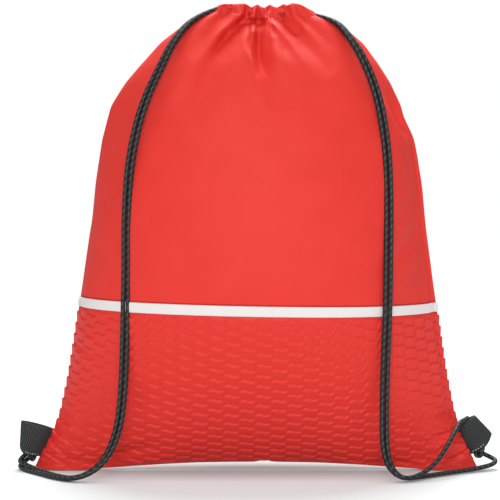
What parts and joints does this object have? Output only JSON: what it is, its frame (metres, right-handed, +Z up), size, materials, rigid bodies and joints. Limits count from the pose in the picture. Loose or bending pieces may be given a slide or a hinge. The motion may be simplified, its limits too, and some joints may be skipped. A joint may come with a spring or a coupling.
{
  "type": "drawstring backpack",
  "caption": "Red drawstring backpack standing upright: smooth upper cloth, wave-embossed lower cloth, white trim tape, black doubled cord straps, ribbon loops",
  "frame": {"origin": "on the floor, below the middle of the pouch's box", "axes": "+Z up, +X to the right along the long side of the pouch, -Y the front with the trim tape"},
  "size_m": [0.4055, 0.154, 0.3892],
  "materials": {
    "red_cloth": "satin",
    "embossed_cloth": "satin",
    "white_tape": "matte",
    "red_thread": "matte",
    "black_cord": "satin",
    "black_ribbon": "matte",
    "pale_thread": "matte"
  },
  "bodies": {
    "bag": {"front_upper_panel": "red_cloth", "front_lower_panel": "embossed_cloth", "back_panel": "red_cloth", "trim_tape": "white_tape", "trim_stitching": "red_thread", "front_casing": "red_cloth", "back_casing": "red_cloth", "left_channel_cord": "black_cord", "right_channel_cord": "black_cord", "left_cord_knot": "black_cord", "right_cord_knot": "black_cord", "left_loop_cord": "black_cord", "right_loop_cord": "black_cord"},
    "left_strap": {"left_strap_outer_strand": "black_cord", "left_strap_inner_strand": "black_cord"},
    "right_strap": {"right_strap_outer_strand": "black_cord", "right_strap_inner_strand": "black_cord"},
    "left_tab": {"left_tab_ribbon": "black_ribbon", "left_tab_stitching": "pale_thread"},
    "right_tab": {"right_tab_ribbon": "black_ribbon", "right_tab_stitching": "pale_thread"}
  },
  "joints": [
    {"name": "left_strap_swing", "type": "hinge", "parent": "bag", "child": "left_strap", "pos_m": [-0.036, 0, 0.3842], "axis": [-0.3765, 0, -0.9264], "range_deg": [0, 85]},
    {"name": "right_strap_swing", "type": "hinge", "parent": "bag", "child": "right_strap", "pos_m": [0.052, 0, 0.3788], "axis": [-0.3462, 0, 0.9382], "range_deg": [0, 85]},
    {"name": "left_tab_flap", "type": "hinge", "parent": "bag", "child": "left_tab", "pos_m": [-0.1743, 0, 0.0235], "axis": [0.5, 0, 0.866], "range_deg": [-10, 10], "stiffness_Nm_per_rad": 0.001},
    {"name": "right_tab_flap", "type": "hinge", "parent": "bag", "child": "right_tab", "pos_m": [0.1743, 0, 0.0235], "axis": [-0.5, 0, 0.866], "range_deg": [-10, 10], "stiffness_Nm_per_rad": 0.001}
  ]
}
